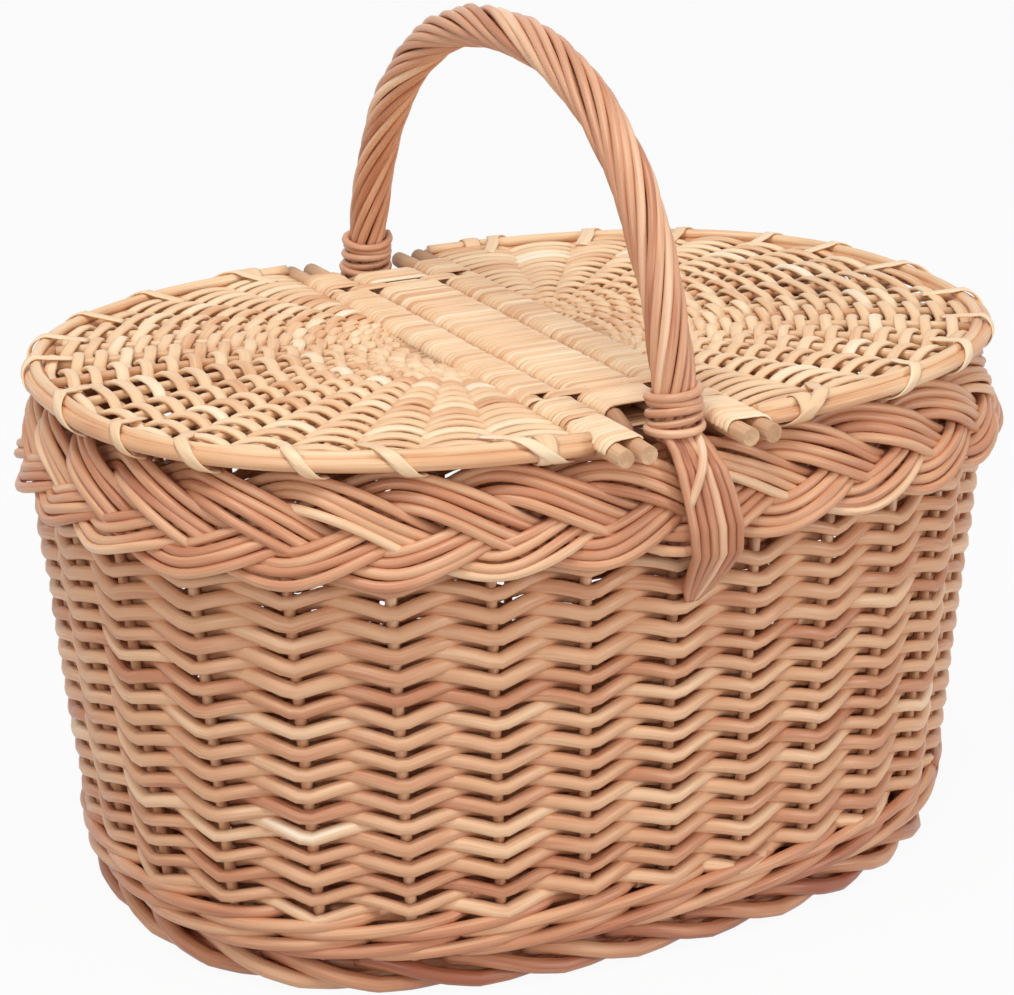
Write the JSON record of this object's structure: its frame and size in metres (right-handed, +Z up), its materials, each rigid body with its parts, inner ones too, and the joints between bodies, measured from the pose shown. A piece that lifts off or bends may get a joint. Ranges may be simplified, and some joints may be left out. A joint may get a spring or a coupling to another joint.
{
  "type": "double-lid willow picnic basket",
  "caption": "Oval woven willow basket with a plaited border, a roped bow handle and two half lids that hinge up from a central bridge.",
  "frame": {"origin": "on the floor under the middle of the oval", "axes": "+X along the length to the right lid, +Y to the back, +Z up"},
  "size_m": [0.4591, 0.341, 0.3901],
  "materials": {
    "buff_willow": "smooth buff willow rods",
    "pale_skein": "pale flat willow skein",
    "brown_willow": "darker buff willow rods",
    "peeled_stick": "peeled willow stick"
  },
  "bodies": {
    "basket": {"foot_border": "buff_willow", "base_weave": "buff_willow", "base_long_stick_1": "peeled_stick", "base_long_stick_2": "peeled_stick", "base_cross_stick_1": "peeled_stick", "base_cross_stick_2": "peeled_stick", "base_cross_stick_3": "peeled_stick", "bottom_wale": "buff_willow", "side_weave": "buff_willow", "stake_01": "buff_willow", "stake_02": "buff_willow", "stake_03": "buff_willow", "stake_04": "buff_willow", "stake_05": "buff_willow", "stake_06": "buff_willow", "stake_07": "buff_willow", "stake_08": "buff_willow", "stake_09": "buff_willow", "stake_10": "buff_willow", "stake_11": "buff_willow", "stake_12": "buff_willow", "stake_13": "buff_willow", "stake_14": "buff_willow", "stake_15": "buff_willow", "stake_16": "buff_willow", "stake_17": "buff_willow", "stake_18": "buff_willow", "stake_19": "buff_willow", "stake_20": "buff_willow", "stake_21": "buff_willow", "stake_22": "buff_willow", "stake_23": "buff_willow", "stake_24": "buff_willow", "stake_25": "buff_willow", "stake_26": "buff_willow", "stake_27": "buff_willow", "border_strand_1": "brown_willow", "border_strand_2": "brown_willow", "border_strand_3": "brown_willow", "bridge_band": "pale_skein", "bridge_stick_left": "peeled_stick", "bridge_stick_right": "peeled_stick", "left_lid_hinge_loop_front": "pale_skein", "left_lid_hinge_loop_back": "pale_skein", "right_lid_hinge_loop_front": "pale_skein", "right_lid_hinge_loop_back": "pale_skein", "handle_core": "peeled_stick", "handle_roping": "brown_willow", "handle_lashing_front": "brown_willow", "handle_lashing_back": "brown_willow", "handle_ear_front": "brown_willow", "handle_ear_back": "brown_willow"},
    "left_lid": {"left_lid_inner_stick": "peeled_stick", "left_lid_outer_stick": "peeled_stick", "left_lid_hoop": "pale_skein", "left_lid_weave": "pale_skein"},
    "right_lid": {"right_lid_inner_stick": "peeled_stick", "right_lid_outer_stick": "peeled_stick", "right_lid_hoop": "pale_skein", "right_lid_weave": "pale_skein"}
  },
  "joints": [
    {"name": "left_lid_hinge", "type": "hinge", "parent": "basket", "child": "left_lid", "pos_m": [-0.0343, 0, 0.24095], "axis": [0, 1, 0], "range_deg": [0, 94]},
    {"name": "right_lid_hinge", "type": "hinge", "parent": "basket", "child": "right_lid", "pos_m": [0.0143, 0, 0.24095], "axis": [0, -1, 0], "range_deg": [0, 92]}
  ]
}
